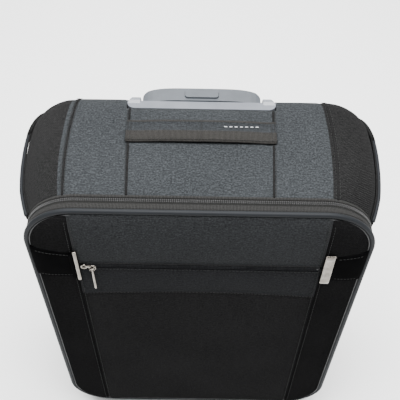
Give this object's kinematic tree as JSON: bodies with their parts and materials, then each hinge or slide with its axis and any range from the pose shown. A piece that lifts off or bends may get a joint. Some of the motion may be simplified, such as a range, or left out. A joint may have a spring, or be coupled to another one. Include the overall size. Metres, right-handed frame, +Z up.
{
  "type": "softside upright suitcase",
  "caption": "Softside cabin-size suitcase with a zipped front lid, a telescoping trolley handle, carry handles, rear wheels and front feet.",
  "frame": {"origin": "on the floor under the middle of the standing case", "axes": "+Z up along the height, -Y to the front with the zipped lid, +X to the case's left-hand side as it faces forwards, seen on the right in a front view"},
  "size_m": [0.4335, 0.2215, 0.55],
  "materials": {
    "grey_fabric": "woven melange, matt",
    "black_twill": "twill weave, matt",
    "navy_piping": "smooth coated, satin",
    "black_webbing": "ribbed webbing, matt",
    "zip_coil": "moulded coil, satin",
    "lining": "fine plain weave, matt",
    "mesh": "open mesh, matt",
    "stiffener": "sheet, matt",
    "grey_plastic": "moulded, satin",
    "black_plastic": "moulded, fine grain",
    "tube_aluminium": "satin anodised",
    "bright_metal": "polished",
    "steel": "plated",
    "black_leather": "coated, glossy",
    "tyre": "matt"
  },
  "bodies": {
    "case": {"shell_fabric": "grey_fabric", "lining": "lining", "back_board": "stiffener", "base_board": "stiffener", "front_hoop": "steel", "shell_zip_tape": "zip_coil", "corner_piping": "navy_piping", "rear_corner_tabs": "black_twill", "handle_housing": "grey_plastic", "housing_screws": "steel", "outer_tube_left": "tube_aluminium", "outer_tube_right": "tube_aluminium", "tube_bracket": "black_plastic", "kick_plate": "black_plastic", "wheel_pod_left": "black_plastic", "wheel_pod_right": "black_plastic", "axle_left": "steel", "axle_right": "steel", "foot_left": "black_plastic", "foot_right": "black_plastic", "foot_screws": "steel", "packing_straps": "black_webbing", "packing_buckle": "black_plastic", "top_handle_ends": "black_webbing", "side_handle_ends": "black_webbing"},
    "lid": {"lid_board": "stiffener", "lid_lining": "lining", "lid_hoop": "steel", "lid_mesh_pocket": "mesh", "lid_gusset": "black_webbing", "lid_piping": "navy_piping", "lid_zip_tape": "zip_coil", "front_upper_panel": "grey_fabric", "front_middle_panel": "grey_fabric", "front_lower_panel": "black_twill", "pocket_zip_tape": "zip_coil", "strap_tabs": "black_leather", "strap_metal": "bright_metal"},
    "lower_stage": {"middle_tubes": "tube_aluminium", "tube_collars": "black_plastic"},
    "upper_stage": {"upper_tubes": "tube_aluminium", "grip_lower": "grey_plastic", "grip_upper": "grey_plastic", "button_springs": "steel"},
    "button": {"release_button": "grey_plastic", "release_rods": "steel"},
    "carry_handle": {"top_handle": "black_webbing"},
    "side_carry_handle": {"side_handle": "black_webbing"},
    "wheel_left": {"wheel_tyre_left": "tyre", "wheel_hub_left": "black_plastic", "wheel_bearings_left": "steel"},
    "wheel_right": {"wheel_tyre_right": "tyre", "wheel_hub_right": "black_plastic", "wheel_bearings_right": "steel"},
    "pocket_slider_body": {"pocket_slider": "bright_metal"},
    "pocket_puller_body": {"pocket_puller": "bright_metal"},
    "main_slider_upper_body": {"main_slider_upper": "bright_metal"},
    "main_slider_lower_body": {"main_slider_lower": "bright_metal"},
    "main_puller_upper_body": {"main_puller_upper": "bright_metal"},
    "main_puller_lower_body": {"main_puller_lower": "bright_metal"}
  },
  "joints": [
    {"name": "lid_open", "type": "hinge", "parent": "case", "child": "lid", "pos_m": [0, -0.0821, 0.0315], "axis": [1, 0, 0], "range_deg": [0, 90]},
    {"name": "trolley_lower_slide", "type": "slide", "parent": "case", "child": "lower_stage", "axis": [0, 0, 1], "range_m": [0, 0.22]},
    {"name": "trolley_upper_slide", "type": "slide", "parent": "lower_stage", "child": "upper_stage", "axis": [0, 0, 1], "range_m": [0, 0.22]},
    {"name": "release_button", "type": "slide", "parent": "upper_stage", "child": "button", "axis": [0, 0, -1], "range_m": [0, 0.003], "stiffness_N_per_m": 900, "springref_m": -0.002, "deforming": ["button_springs"]},
    {"name": "top_handle_lift", "type": "slide", "parent": "case", "child": "carry_handle", "axis": [0, 0, 1], "range_m": [0, 0.022]},
    {"name": "side_handle_lift", "type": "slide", "parent": "case", "child": "side_carry_handle", "axis": [-1, 0, 0], "range_m": [0, 0.02]},
    {"name": "wheel_left_spin", "type": "hinge", "parent": "case", "child": "wheel_left", "pos_m": [-0.171, 0.084, 0.026], "axis": [1, 0, 0], "continuous": true},
    {"name": "wheel_right_spin", "type": "hinge", "parent": "case", "child": "wheel_right", "pos_m": [0.171, 0.084, 0.026], "axis": [1, 0, 0], "continuous": true},
    {"name": "pocket_slide", "type": "slide", "parent": "lid", "child": "pocket_slider_body", "axis": [1, 0, 0], "range_m": [0, 0.25]},
    {"name": "pocket_puller_swing", "type": "hinge", "parent": "pocket_slider_body", "child": "pocket_puller_body", "pos_m": [-0.123, -0.1096, 0.442], "axis": [-1, 0, 0], "range_deg": [0, 150]},
    {"name": "main_slide_upper", "type": "slide", "parent": "case", "child": "main_slider_upper_body", "axis": [0, 0, 1], "range_m": [0, 0.075]},
    {"name": "main_slide_lower", "type": "slide", "parent": "case", "child": "main_slider_lower_body", "axis": [0, 0, -1], "range_m": [0, 0.27]},
    {"name": "main_puller_upper_swing", "type": "hinge", "parent": "main_slider_upper_body", "child": "main_puller_upper_body", "pos_m": [0.1981, -0.0821, 0.393], "axis": [0, -1, 0], "range_deg": [0, 150]},
    {"name": "main_puller_lower_swing", "type": "hinge", "parent": "main_slider_lower_body", "child": "main_puller_lower_body", "pos_m": [0.1981, -0.0821, 0.378], "axis": [0, -1, 0], "range_deg": [0, 150]}
  ]
}
